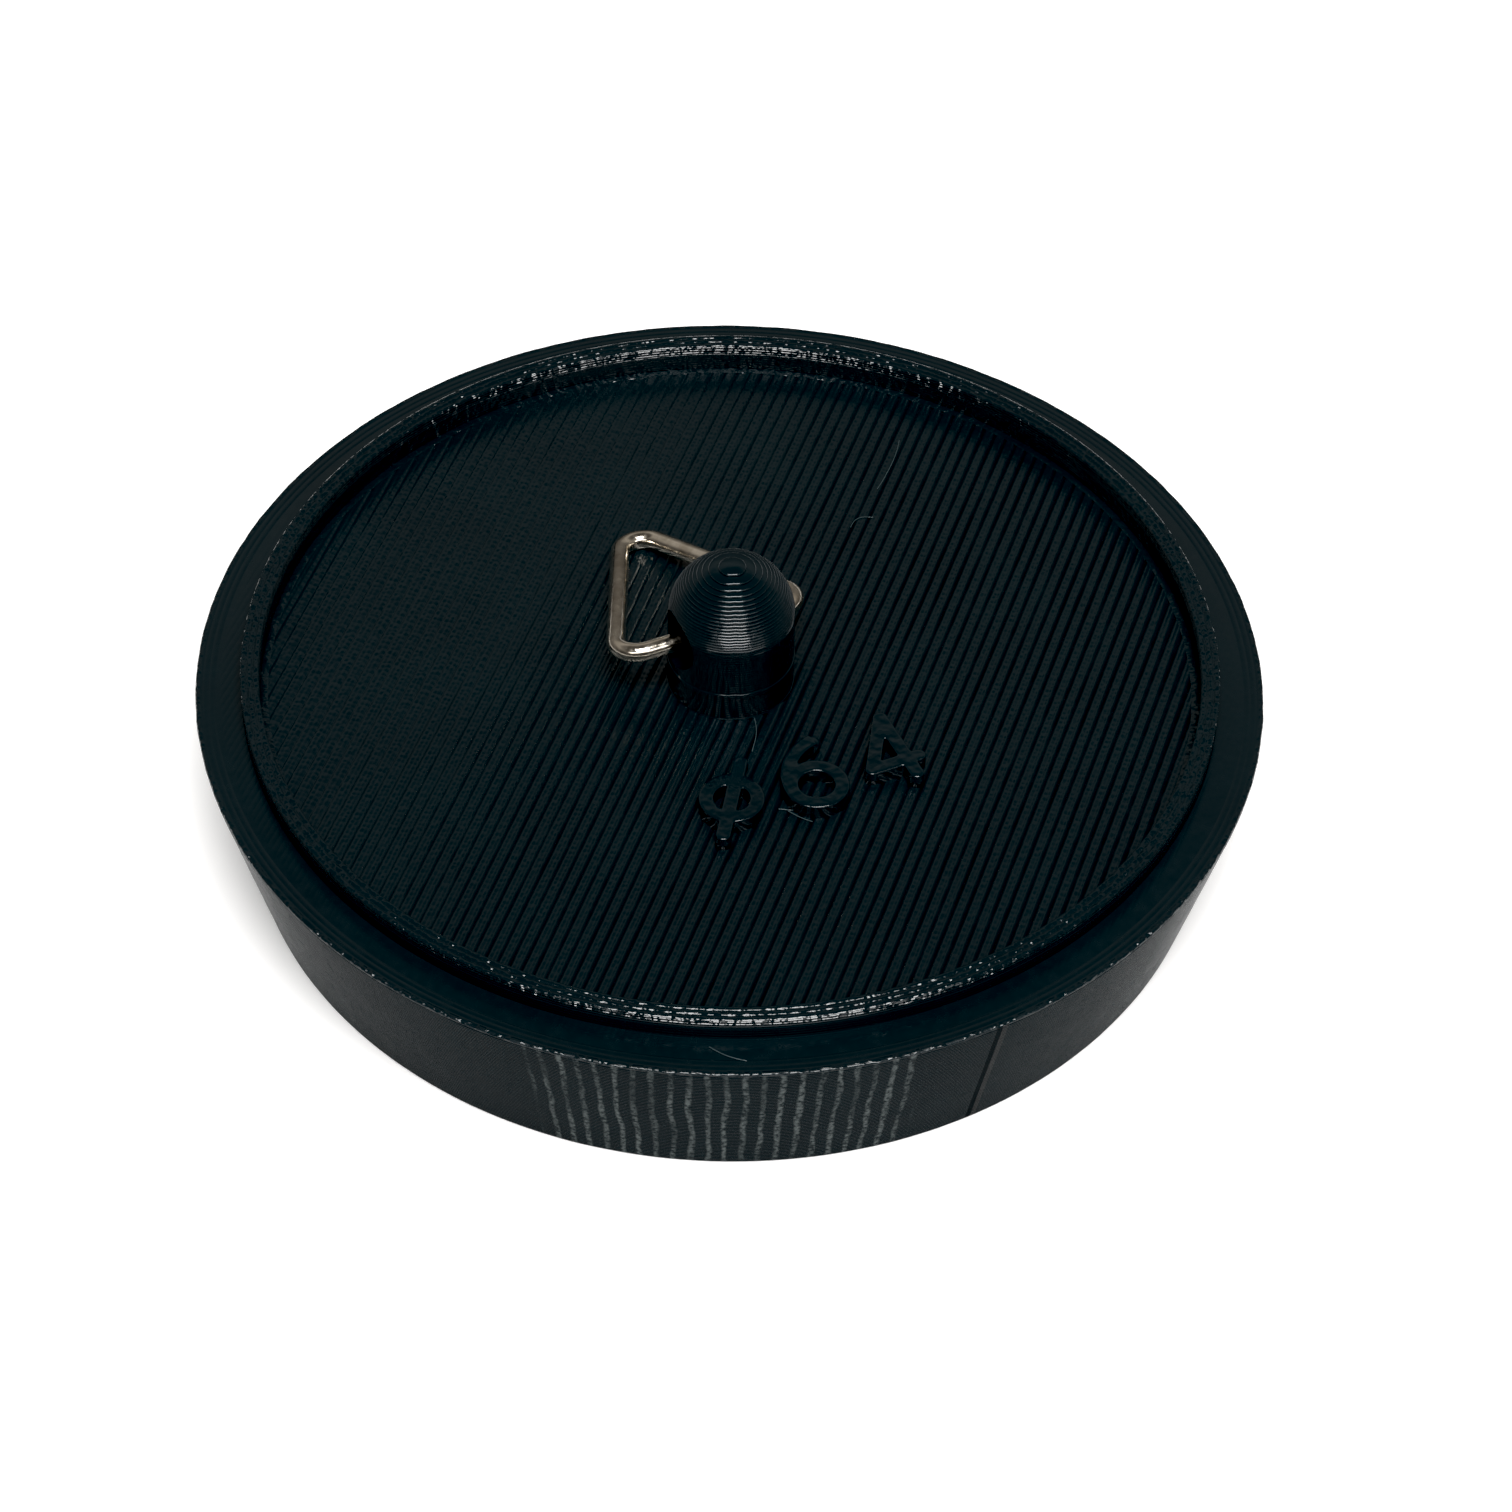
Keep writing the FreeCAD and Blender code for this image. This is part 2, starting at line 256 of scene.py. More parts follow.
plastic = {
    "dark": (0.0002, 0.0038, 0.0056, 1),
    "pale": (0.0004, 0.0062, 0.0085, 1),
    "index": 1.45,
    "roughLow": 0.13,
    "roughHigh": 0.24,
    "patch": 160.0,       # broad patches of tone, per metre
    "grain": 3200.0,      # fine surface grain, per metre
    "grainDeep": 0.0000015,
}


def printedPlastic(name, roughShift=0.0, extraBump=None, grain=1.0):
    material, nodes, links, shader, coords = startMaterial(name)
    patches = noiseNode(nodes, links, coords, plastic["patch"], 4.0)
    tone = nodes.new("ShaderNodeMix")
    tone.data_type = "RGBA"
    tone.inputs["A"].default_value = plastic["dark"]
    tone.inputs["B"].default_value = plastic["pale"]
    links.new(patches, tone.inputs["Factor"])
    links.new(tone.outputs["Result"], shader.inputs["Base Color"])
    shader.inputs["IOR"].default_value = plastic["index"]
    fine = noiseNode(nodes, links, coords, plastic["grain"] * 0.4, 3.0)
    low = plastic["roughLow"] + roughShift
    high = plastic["roughHigh"] + roughShift
    links.new(rampNode(nodes, links, fine, 0.3, 0.7, low, high), shader.inputs["Roughness"])
    grit = noiseNode(nodes, links, coords, plastic["grain"], 2.0)
    normal = bumpNode(nodes, links, grit, plastic["grainDeep"] * grain)
    if extraBump:
        normal = extraBump(nodes, links, coords, normal)
    links.new(normal, shader.inputs["Normal"])
    return material


def paint(piece, material):
    piece.data.materials.clear()
    piece.data.materials.append(material)


# Plug disc: layered tapered wall, ringed flange, and a bed for the floor lines
disc = {
    "footRadius": 0.0315,
    "steps": 288,
    "beadDeep": 0.00004,
    "footRound": 0.0002,
    "flangeLines": 3,     # printed rings along the flange's outer edge
    "lineDeep": 0.000012,
    "lineDrop": 0.000005, # the flange inside its rings
    "topGap": 0.00004,
    "rimRound": 0.00008,
    "bedDrop": 0.0008,    # bed for the floor lines, below the flange
    "seamTurn": -86.0,    # the layers start here
    "seamWide": 0.0004,
    "seamDeep": 0.0006,
    "uneven": 0.000012,
    "waves": (14.0, 0.0021, 3.0),   # unevenness around, its height, and its start
    "edgeUneven": 0.00004,
    "edgeBand": 0.0003,   # how much of the rim that is
    "edgeSeed": 11,
    "smooth": 55,         # corners below this many degrees are shaded smooth
}
rimRadius = discHigh.x
ridgeMiddle = ridgeHigh.x - 0.0006   # half the ridge's width in from its outer side


# A side of rounded layers, as (share of a layer's height, share of the bead's depth) pairs.
# Where proud is given, the layers below the top few are pressed flatter.
layerShape = ((0.06, 1.0), (0.30, 0.12), (0.70, 0.12), (0.94, 1.0))
pressedFlat = 0.3


def layeredSide(radiusAt, low, high, deep, outward=1, proud=0):
    count = max(1, round((high - low) / layer))
    step = (high - low) / count
    side = []
    for i in range(count):
        pressed = proud and i < count - proud
        bead = pressedFlat * deep if pressed else deep
        for share, sink in layerShape:
            height = low + (i + share) * step
            side.append((radiusAt(low + (i + 0.5) * step) - outward * sink * bead, height))
    return side


def buildDisc():
    taper = (rimRadius - disc["footRadius"]) / flangeLevel
    outline = [(0.0, 0.0), (disc["footRadius"] - disc["footRound"], 0.0)]
    outline += layeredSide(lambda height: disc["footRadius"] + taper * height,
                           disc["footRound"] * 0.3, flangeLevel - disc["topGap"], disc["beadDeep"])
    ringRadius = rimRadius - disc["rimRound"]
    for i in range(disc["flangeLines"]):
        inner = ringRadius - lineWide
        outline += [(ringRadius - 0.1 * lineWide, flangeLevel),
                    (ringRadius - 0.9 * lineWide, flangeLevel),
                    (inner, flangeLevel - disc["lineDeep"])]
        ringRadius = inner
    inside = flangeLevel - disc["lineDrop"]
    bed = flangeLevel - disc["bedDrop"]
    outline += [(ringRadius - 0.1 * lineWide, inside), (ridgeMiddle, inside),
                (ridgeMiddle, bed), (0.0, bed)]
    piece = turnOutline("disc_body", outline, disc["steps"])
    unevenRound(piece, disc["uneven"], *disc["waves"])
    roughenEdge(piece)
    settle(piece, disc["smooth"])
    return piece


# The last printed ring ends a little raggedly along the flange's outer edge.
def roughenEdge(piece):
    place = points(piece)
    radius = np.hypot(place[:, 0], place[:, 1])
    edge = (radius > rimRadius - disc["edgeBand"]) & (place[:, 2] > flangeLevel - disc["edgeBand"])
    angle = np.arctan2(place[:, 1], place[:, 0])
    column = np.round(angle / (2 * math.pi) * disc["steps"]).astype(int) % disc["steps"]
    ragged = np.random.default_rng(disc["edgeSeed"]).random(disc["steps"])
    cut = ragged[column] * disc["edgeUneven"] * edge
    place[:, 0] *= 1 - cut / np.maximum(radius, 1e-6)
    place[:, 1] *= 1 - cut / np.maximum(radius, 1e-6)
    setPoints(piece, place)


discBody = buildDisc()
print("disc turned")


# Floor lines: one solid of printed lines, laid aslant and ending under the ridge
floor = {
    "turn": math.radians(47.2),
    "pitch": 2 * lineWide,
    "acrossPitch": 12,    # mesh columns to a pair
    "along": 100,
    "grooveDeep": 0.00023,
    "grooveWide": 0.12,   # share of the pitch
    "groovePower": 1.5,   # rounded lines with a sharp gap between
    "middleDeep": 0.00003,    # the faint gap in the middle of a pair
    "middleWide": 0.07,
    "wander": 0.000025,
    "wanderWide": 0.3,
    "bead": 0.9 * lineWide,   # lumps along a gap
    "drift": 0.009,           # slower changes along a gap
    "edgeGap": 0.00005,       # between the lines and the wall of their bed
    "thick": 0.0005,
    "faint": 0.30,        # what is left of the grooves on the far left, where the lines fuse
    "smooth": 60,
}


def buildFloor():
    pairs = math.floor(2 * (ridgeMiddle - floor["edgeGap"]) / floor["pitch"])
    reach = pairs * floor["pitch"] / 2
    columns = pairs * floor["acrossPitch"]
    clearSelection()
    bpy.ops.mesh.primitive_grid_add(x_subdivisions=columns, y_subdivisions=floor["along"], size=2)
    piece = takeNew("floor_lines")
    place = points(piece)
    across = place[:, 0] * reach
    chord = np.sqrt(np.maximum(reach ** 2 - across ** 2, (0.02 * reach) ** 2))
    along = place[:, 1] * chord
    c, s = math.cos(floor["turn"]), math.sin(floor["turn"])
    share = across / floor["pitch"]
    number = np.round(share)
    off = share - number
    depth = np.empty(len(place))
    drift = np.empty(len(place))
    for i in range(len(place)):
        spot = Vector((number[i] * 7.3, along[i] / floor["drift"], 0.5))
        bead = Vector((number[i] * 3.1, along[i] / floor["bead"], 4.0))
        depth[i] = 1.0 + 0.3 * noise.noise(spot) + 0.45 * noise.noise(bead)
        drift[i] = noise.noise(spot + Vector((0, 0, 9)))
    x, y = along * c + across * s, along * s - across * c
    right = x * rightward.x + y * rightward.y
    away = -x * towards.x - y * towards.y
    clear = np.clip((0.9 * right - 0.75 * away) / reach + 0.75, 0, 1)   # 0 on the far left
    depth = depth * (floor["faint"] + (1 - floor["faint"]) * clear * clear * (3 - 2 * clear))
    groove = np.exp(-(np.abs(off) / floor["grooveWide"]) ** floor["groovePower"])
    groove = groove * floor["grooveDeep"] * np.clip(depth, 0, 1.5)
    middle = np.exp(-((np.abs(off) - 0.5) / floor["middleWide"]) ** 2)
    middle = middle * floor["middleDeep"] * (0.4 + 0.6 * clear)
    across = across + drift * floor["wander"] * np.exp(-(off / floor["wanderWide"]) ** 2)
    place[:, 0] = along * c + across * s
    place[:, 1] = along * s - across * c
    place[:, 2] = floorLevel - groove - middle
    setPoints(piece, place)
    editAll()
    bpy.ops.mesh.normals_make_consistent(inside=False)
    bpy.ops.mesh.region_to_loop()
    pushOut((0, 0, -floor["thick"]))
    bpy.ops.transform.resize(value=(1, 1, 0), center_override=(0, 0, floorLevel - floor["thick"]))
    bpy.ops.mesh.edge_face_add()
    bpy.ops.mesh.select_all(action="SELECT")
    bpy.ops.mesh.normals_make_consistent(inside=False)
    bpy.ops.object.mode_set(mode="OBJECT")
    settle(piece, floor["smooth"])
    return piece


floorLines = buildFloor()
print("floor lines laid")


# Rim ridge: three printed lines wide on top, with a perimeter line at its inner foot
rootDeep = 0.0003         # how far the ridge and the knob go down into the floor
ridge = {
    "innerRadius": 0.0303,
    "steps": 240,
    "beadDeep": 0.00009,
    "proudLayers": 3,     # the top layers show their beads more
    "topRound": 0.00012,
    "topLines": 3,
    "lineDeep": 0.00008,
    "lineShape": (0.06, 0.16, 0.32, 0.5, 0.68, 0.84, 0.94),   # points across a line
    "footWide": 0.0005,
    "footHigh": 0.00003,
    "footGap": 0.00006,
    "footRound": (0.0001, 0.00004),
    "uneven": 0.00001,
    "waves": (16.0, 0.0006, 8.0),
    "smooth": 55,
}


def buildRidge():
    outer, inner, top = ridgeHigh.x, ridge["innerRadius"], ridgeHigh.z
    root = floorLevel - rootDeep
    shoulder = top - ridge["topRound"]
    deep, proud = ridge["beadDeep"], ridge["proudLayers"]
    outline = [(outer, root)]
    outline += layeredSide(lambda height: outer, flangeLevel, shoulder, deep, 1, proud)
    wide = (outer - inner) / ridge["topLines"]
    for i in range(ridge["topLines"]):
        for share in ridge["lineShape"]:
            sink = ridge["lineDeep"] * abs(2 * share - 1) ** 3
            outline.append((outer - (i + share) * wide, top - sink))
    innerSide = layeredSide(lambda height: inner, floorLevel, shoulder, deep, -1, proud)
    outline += innerSide[::-1]
    footEdge = inner - ridge["footWide"]
    footTop = floorLevel + ridge["footHigh"]
    roundWide, roundHigh = ridge["footRound"]
    outline += [(inner - ridge["footGap"], footTop), (footEdge + roundWide, footTop),
                (footEdge, footTop - roundHigh), (footEdge, root)]
    piece = turnOutline("rim_bead", outline, ridge["steps"], closed=True)
    unevenRound(piece, ridge["uneven"], *ridge["waves"])
    settle(piece, ridge["smooth"])
    return piece


rimBead = buildRidge()
print("ridge turned")


# Pull knob: a post and dome of level printed layers, with a cross hole
knob = {
    "steps": 144,
    "beadDeep": 0.000018,
    "domeDeep": 0.00007,  # the layers stand out more where the dome steps in
    "holeRadius": 0.0020,
    "holeLevel": 0.0159,
    "holeSides": 42,
    "markLayer": 0.0132,  # the layer that ends level with the ridge stands out a little
    "markHigh": 0.00006,
    "layerShape": ((0.05, 1.0), (0.28, 0.15), (0.50, 0.0), (0.72, 0.15), (0.95, 1.0)),
    "footHigh": 0.00003,
    "footWide": 0.00004,
    "uneven": 0.000012,
    "waves": (5.0, 0.0008, 5.0),
    "seamTurn": -111.0,
    "seamDeep": -0.00006,
    "smooth": 50,
}


def buildKnob():
    radius = knobHigh.x
    shoulder = knobHigh.z - radius
    footTop = floorLevel + knob["footHigh"]
    footRadius = radius + knob["footWide"]
    root = floorLevel - rootDeep
    outline = [(0.0, root), (footRadius, root), (footRadius, footTop)]
    layers = round((knobHigh.z - floorLevel) / layer)
    step = (knobHigh.z - footTop) / layers
    for i in range(layers):
        middle = footTop + (i + 0.5) * step
        lift = max(0.0, middle - shoulder)
        reach = math.sqrt(max(radius ** 2 - lift ** 2, 0.0))
        if abs(middle - knob["markLayer"]) < 0.6 * step:
            reach += knob["markHigh"]
        deep = min(knob["domeDeep"] if lift > 0 else knob["beadDeep"], reach * 0.2)
        for share, sink in knob["layerShape"]:
            outline.append((reach - sink * deep, footTop + (i + share) * step))
    outline.append((0.0, knobHigh.z))
    piece = turnOutline("knob_body", outline, knob["steps"])
    unevenRound(piece, knob["uneven"], *knob["waves"], knob["seamTurn"], knob["seamDeep"])
    clearSelection()
    bpy.ops.mesh.primitive_cylinder_add(
        vertices=knob["holeSides"], radius=knob["holeRadius"], depth=3 * radius,
        location=(0, 0, knob["holeLevel"]), rotation=(0, math.pi / 2, 0))
    cutter = takeNew("hole_cutter")
    bpy.context.view_layer.objects.active = piece
    cut = piece.modifiers.new("hole", "BOOLEAN")
    cut.operation = "DIFFERENCE"
    cut.solver = "EXACT"
    cut.object = cutter
    bpy.ops.object.modifier_apply(modifier=cut.name)
    bpy.data.objects.remove(cutter)
    settle(piece, knob["smooth"])
    return piece


knobBody = buildKnob()
print("knob turned and drilled")


# Size mark: a generic diameter mark, its strokes rounded over as printed beads are
mark = {
    "grain": 0.00006,     # cell of the remeshed strokes
    "soften": 12,
    "root": 0.00025,      # how far the strokes go down into the floor
    "blobRadius": 0.00056,
    "blobUneven": 0.12,
    "blobGrain": 2600,    # per metre
    "smooth": 60,
    # the strokes' ends, from the middle of the mark, where the plastic gathers
    "ends": ((-0.00711, -0.00268), (-0.00349, 0.00268), (0.00155, 0.00262),
             (0.00633, 0.00268), (0.00633, -0.00268), (0.00387, -0.00132)),
}


def buildMark():
    clearSelection()
    node = frame["nodes"]["size_mark"]
    node.select_set(True)
    bpy.context.view_layer.objects.active = node
    bpy.ops.object.duplicate()
    piece = takeNew("mark_strokes")
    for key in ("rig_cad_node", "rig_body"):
        if key in piece:
            del piece[key]
    piece.parent = None
    editAll()
    bpy.ops.mesh.remove_doubles(threshold=2e-6)
    bpy.ops.object.mode_set(mode="OBJECT")
    place = points(piece)
    place[place[:, 2] < floorLevel + 0.00001, 2] -= mark["root"]
    setPoints(piece, place)
    addBlobs(piece)
    cells = piece.modifiers.new("cells", "REMESH")
    cells.mode = "VOXEL"
    cells.voxel_size = mark["grain"]
    bpy.ops.object.modifier_apply(modifier=cells.name)
    soft = piece.modifiers.new("soft", "SMOOTH")
    soft.factor = 0.5
    soft.iterations = mark["soften"]
    bpy.ops.object.modifier_apply(modifier=soft.name)
    settle(piece, mark["smooth"])
    return piece


def addBlobs(piece):
    middle = (markLow + markHigh) / 2
    radius = mark["blobRadius"]
    blobs = []
    for x, y in mark["ends"]:
        centre = (middle.x + x, middle.y + y, markHigh.z - radius)
        clearSelection()
        bpy.ops.mesh.primitive_uv_sphere_add(
            segments=24, ring_count=16, radius=radius, location=centre)
        blob = takeNew("blob")
        bpy.ops.object.transform_apply(location=True, rotation=True, scale=True)
        place = points(blob)
        for i, spot in enumerate(place):
            push = 1 - mark["blobUneven"] * abs(noise.noise(Vector(spot) * mark["blobGrain"]))
            place[i] = np.array(centre) + (spot - np.array(centre)) * push
        setPoints(blob, place)
        blobs.append(blob)
    clearSelection()
    for blob in blobs:
        blob.select_set(True)
    piece.select_set(True)
    bpy.context.view_layer.objects.active = piece
    bpy.ops.object.join()


markStrokes = buildMark()
print("size mark rounded")


# Pull ring: round wire, drawn out and bent at three corners
ring = {
    "wire": 0.00125,
    "base": 0.0140,       # the straight side in the knob, between its sharp corners
    "rise": 0.0155,       # from that side to the sharp apex
    "bend": 0.0015,
    "shift": -0.0008,     # the ring sits this far along the hole
    "gap": 0.0004,        # between the wire's ends, inside the knob
    "tilt": 14.0,         # degrees below level, with the apex down
    "endShare": 0.9,      # the cut ends are bevelled to this share of the wire
    "endBevel": 0.05,
    "sides": 28,
    "bendSteps": 14,
    "smooth": 35,
}


def buildRing():
    corner = math.atan2(ring["rise"], ring["base"] / 2)
    reach = ring["base"] / 2 - ring["bend"] / math.tan(corner / 2)
    apex = ring["rise"] - ring["bend"] / math.cos(corner)
    leg = Vector((-reach, apex - ring["bend"], 0)).length
    clearSelection()
    bpy.ops.mesh.primitive_circle_add(
        vertices=ring["sides"], radius=ring["wire"] / 2 * ring["endShare"], fill_type="NGON",
        location=(ring["gap"] / 2, 0, 0), rotation=(0, math.pi / 2, 0))
    piece = takeNew("ring_bent")
    bpy.ops.object.transform_apply(location=True, rotation=True, scale=True)
    editAll()
    endBevel = ring["endBevel"] * ring["wire"]
    pushOut((endBevel, 0, 0))
    grow = 1 / ring["endShare"]
    bpy.ops.transform.resize(value=(1, grow, grow), center_override=(0, 0, 0))
    heading = 0.0
    place = Vector((ring["gap"] / 2 + endBevel, 0, 0))

    def run(length):
        nonlocal place
        step = Vector((math.cos(heading), math.sin(heading), 0)) * length
        pushOut(tuple(step))
        place = place + step

    def bendBy(angle):
        nonlocal heading, place
        centre = place + Vector((-math.sin(heading), math.cos(heading), 0)) * ring["bend"]
        bpy.ops.mesh.spin(steps=ring["bendSteps"], angle=-angle, center=centre, axis=(0, 0, 1))
        heading += angle
        place = centre - Vector((-math.sin(heading), math.cos(heading), 0)) * ring["bend"]

    run(reach + ring["shift"] - place.x)
    bendBy(math.pi - corner)
    run(leg)
    bendBy(2 * corner)
    run(leg)
    bendBy(math.pi - corner)
    run(-ring["gap"] / 2 - endBevel - place.x)
    pushOut((endBevel, 0, 0))
    bpy.ops.transform.resize(value=(1, ring["endShare"], ring["endShare"]), center_override=(0, 0, 0))
    bpy.ops.mesh.select_all(action="SELECT")
    bpy.ops.mesh.remove_doubles(threshold=1e-7)
    bpy.ops.mesh.normals_make_consistent(inside=False)
    bpy.ops.object.mode_set(mode="OBJECT")
    piece.rotation_euler = (-math.radians(ring["tilt"]), 0, 0)
    piece.location = (0, hinge.y, hinge.z)
    settle(piece, ring["smooth"])
    return piece


ringBent = buildRing()
print("ring bent")


# Wisps: fine strings that the nozzle pulled and left lying
wisps = {
    "thick": 0.00006,
    "lift": 0.00003,
    "sway": 0.0003,
    "swayGrain": 700,     # per metre
    "hop": 0.00012,
    "hopGrain": 900,
    "smooth": 60,
    "dark": (0.012, 0.024, 0.027, 1),
    "pale": (0.06, 0.08, 0.084, 1),
    # start, middle and end of each, from the part's origin
    "runs": (((0.0132, 0.0095), (0.0140, 0.0104), (0.0150, 0.0098)),
             ((0.0165, 0.0122), (0.0184, 0.0139), (0.0200, 0.0160)),
             ((-0.0003, -0.0043), (-0.0008, -0.0057), (-0.0017, -0.0069)),
             ((-0.0018, -0.0126), (-0.0014, -0.0134), (-0.0007, -0.0141)),
             ((-0.0022, -0.0122), (-0.0012, -0.0129), (-0.0003, -0.0132)),
             ((-0.0146, -0.0288), (-0.0139, -0.0300), (-0.0129, -0.0307))),
}


def buildWisps():
    strings = []
    for run in wisps["runs"]:
        clearSelection()
        bpy.ops.curve.primitive_nurbs_path_add()
        string = bpy.context.object
        spline = string.data.splines[0]
        knots = []
        for x, y in run:
            under = floorLevel if math.hypot(x, y) < ridgeMiddle else flangeLevel
            knots.append(Vector((x, y, under + wisps["lift"])))
        for i, knot in enumerate(spline.points):
            share = i / (len(spline.points) - 1) * 2
            k = min(int(share), 1)
            spot = knots[k].lerp(knots[k + 1], share - k)
            spot.x += wisps["sway"] * noise.noise(spot * wisps["swayGrain"])
            spot.z += wisps["hop"] * abs(noise.noise(spot * wisps["hopGrain"]))
            knot.co = (*spot, 1)
        string.data.bevel_depth = wisps["thick"] / 2
        string.data.bevel_resolution = 1
        string.data.use_fill_caps = True
        bpy.ops.object.convert(target="MESH")
        strings.append(bpy.context.object)
    clearSelection()
    for string in strings:
        string.select_set(True)
    bpy.context.view_layer.objects.active = strings[0]
    bpy.ops.object.join()
    piece = takeNew("print_wisps")
    settle(piece, wisps["smooth"])
    return piece


printWisps = buildWisps()
print("wisps laid")


# Finishes
def planeRadius(nodes, links, split):
    squareX = mathNode(nodes, links, "MULTIPLY", split.outputs["X"], split.outputs["X"])
    squareY = mathNode(nodes, links, "MULTIPLY", split.outputs["Y"], split.outputs["Y"])
    return mathNode(nodes, links, "SQRT", mathNode(nodes, links, "ADD", squareX, squareY))


# Printed lines at 45 degrees, on the flange and the underside.
def levelLines(nodes, links, split):
    across = mathNode(nodes, links, "SUBTRACT", split.outputs["X"], split.outputs["Y"])
    phase = mathNode(nodes, links, "MULTIPLY", across, math.pi / lineWide / math.sqrt(2))
    return mathNode(nodes, links, "ABSOLUTE", mathNode(nodes, links, "SINE", phase))


def pebbles(nodes, links, coords, size, turnZ=0.0):
    mapping = nodes.new("ShaderNodeMapping")
    mapping.inputs["Rotation"].default_value = (0, 0, turnZ)
    links.new(coords, mapping.inputs["Vector"])
    cells = nodes.new("ShaderNodeTexVoronoi")
    cells.feature = "SMOOTH_F1"
    cells.inputs["Scale"].default_value = 1 / size
    cells.inputs["Smoothness"].default_value = 0.4
    cells.inputs["Randomness"].default_value = 0.65
    links.new(mapping.outputs["Vector"], cells.inputs["Vector"])
    return mathNode(nodes, links, "SUBTRACT", 1.0, cells.outputs["Distance"])


def flangeBump(nodes, links, coords, normal):
    split = nodes.new("ShaderNodeSeparateXYZ")
    links.new(coords, split.inputs["Vector"])
    ridges = levelLines(nodes, links, split)
    radius = planeRadius(nodes, links, split)
    inside = rampNode(nodes, links, radius, rimRadius - 0.0018, rimRadius - 0.0016, 1, 0)
    below = rampNode(nodes, links, split.outputs["Z"], 0.001, 0.002, 3, 0)
    height = mathNode(nodes, links, "MULTIPLY", ridges, mathNode(nodes, links, "ADD", inside, below))
    normal = bumpNode(nodes, links, height, 0.000004, 1.0, normal)
    normal = bumpNode(nodes, links, pebbles(nodes, links, coords, 0.0006), 0.000003, 1.0, normal)
    edge = rampNode(nodes, links, radius, rimRadius - 0.0004, rimRadius - 0.0002, 0, 1)
    return raggedBump(nodes, links, coords, edge, normal)


# Breaks the gleam along an edge into short pieces.
def raggedBump(nodes, links, coords, edge, normal):
    crumbs = rampNode(nodes, links, noiseNode(nodes, links, coords, 1500.0, 1.0), 0.4, 0.6, 0.0, 1.0)
    return bumpNode(nodes, links, mathNode(nodes, links, "MULTIPLY", crumbs, edge), 0.00007, 1.0, normal)


# The layers' seam, an upright bead, and a ragged top edge.
def wallBump(nodes, links, coords, normal):
    split = nodes.new("ShaderNodeSeparateXYZ")
    links.new(coords, split.inputs["Vector"])
    angle = mathNode(nodes, links, "ARCTAN2", split.outputs["Y"], split.outputs["X"])
    fromSeam = mathNode(nodes, links, "SUBTRACT", angle, math.radians(disc["seamTurn"]))
    off = mathNode(nodes, links, "ABSOLUTE", fromSeam)
    seam = rampNode(nodes, links, off, 0.0, disc["seamWide"] / rimRadius, 1.0, 0.0)
    normal = bumpNode(nodes, links, seam, disc["seamDeep"], 1.0, normal)
    edge = rampNode(nodes, links, split.outputs["Z"], flangeLevel - 0.0003, flangeLevel - 0.0001, 0, 1)
    return raggedBump(nodes, links, coords, edge, normal)


# Painted highlight: pale upright streaks painted into the wall's base colour only on the side facing the
# camera and front box, where their light catches the layer beads. The upright marks follow the print; their
# paleness is painted light.
def paintStreakHighlights(material):
    nodes, links = material.node_tree.nodes, material.node_tree.links
    shader = nodes["Principled BSDF"]
    coords = nodes.new("ShaderNodeTexCoord").outputs["Object"]
    split = nodes.new("ShaderNodeSeparateXYZ")
    links.new(coords, split.inputs["Vector"])
    angle = mathNode(nodes, links, "ARCTAN2", split.outputs["Y"], split.outputs["X"])
    wobble = noiseNode(nodes, links, coords, 420.0, 3.0, (1, 1, 0.5))
    turns = mathNode(nodes, links, "MULTIPLY", angle, 2 * math.pi * rimRadius / wall["streakPitch"])
    shifted = mathNode(nodes, links, "ADD", turns, mathNode(nodes, links, "MULTIPLY", wobble, wall["wander"]))
    streak = rampNode(nodes, links, mathNode(nodes, links, "SINE", shifted), 0.3, 0.9, 0.0, 1.0)
    grit = rampNode(nodes, links, noiseNode(nodes, links, coords, 3600.0, 3.0), 0.38, 0.62, 0.05, 1.0)
    patches = noiseNode(nodes, links, coords, 520.0, 1.0, (1, 1, 0.2))
    fade = rampNode(nodes, links, patches, 0.35, 0.6, 0.35, 1.0)
    grit = mathNode(nodes, links, "MULTIPLY", grit, fade)
    fromMiddle = mathNode(nodes, links, "SUBTRACT", angle, math.radians(wall["highlightMiddle"]))
    off = mathNode(nodes, links, "ABSOLUTE", fromMiddle)
    span, spanEnd = math.radians(wall["highlightSpan"]), math.radians(wall["highlightSpan"] + 1)
    # painted highlight: the streaks are painted only within this span of turn about the wall's lit side
    litSideMask = rampNode(nodes, links, off, span, spanEnd, 1, 0)
    share = mathNode(nodes, links, "MULTIPLY", mathNode(nodes, links, "MULTIPLY", streak, grit), litSideMask)
    tone = nodes.new("ShaderNodeMix")
    tone.data_type = "RGBA"
    links.new(shader.inputs["Base Color"].links[0].from_socket, tone.inputs["A"])
    tone.inputs["B"].default_value = wall["streakHighlightTone"]
    links.new(share, tone.inputs["Factor"])
    links.new(tone.outputs["Result"], shader.inputs["Base Color"])


def speckledBeads(deep, grain=1300.0):
    def bump(nodes, links, coords, normal):
        speckle = rampNode(nodes, links, noiseNode(nodes, links, coords, grain, 1.0), 0.35, 0.65, 0.0, 1.0)
        return bumpNode(nodes, links, speckle, deep, 1.0, normal)
    return bump


def grainedLines(nodes, links, coords, normal):
    dots = pebbles(nodes, links, coords, lineWide, -floor["turn"])
    return bumpNode(nodes, links, dots, 0.000028, 1.0, normal)


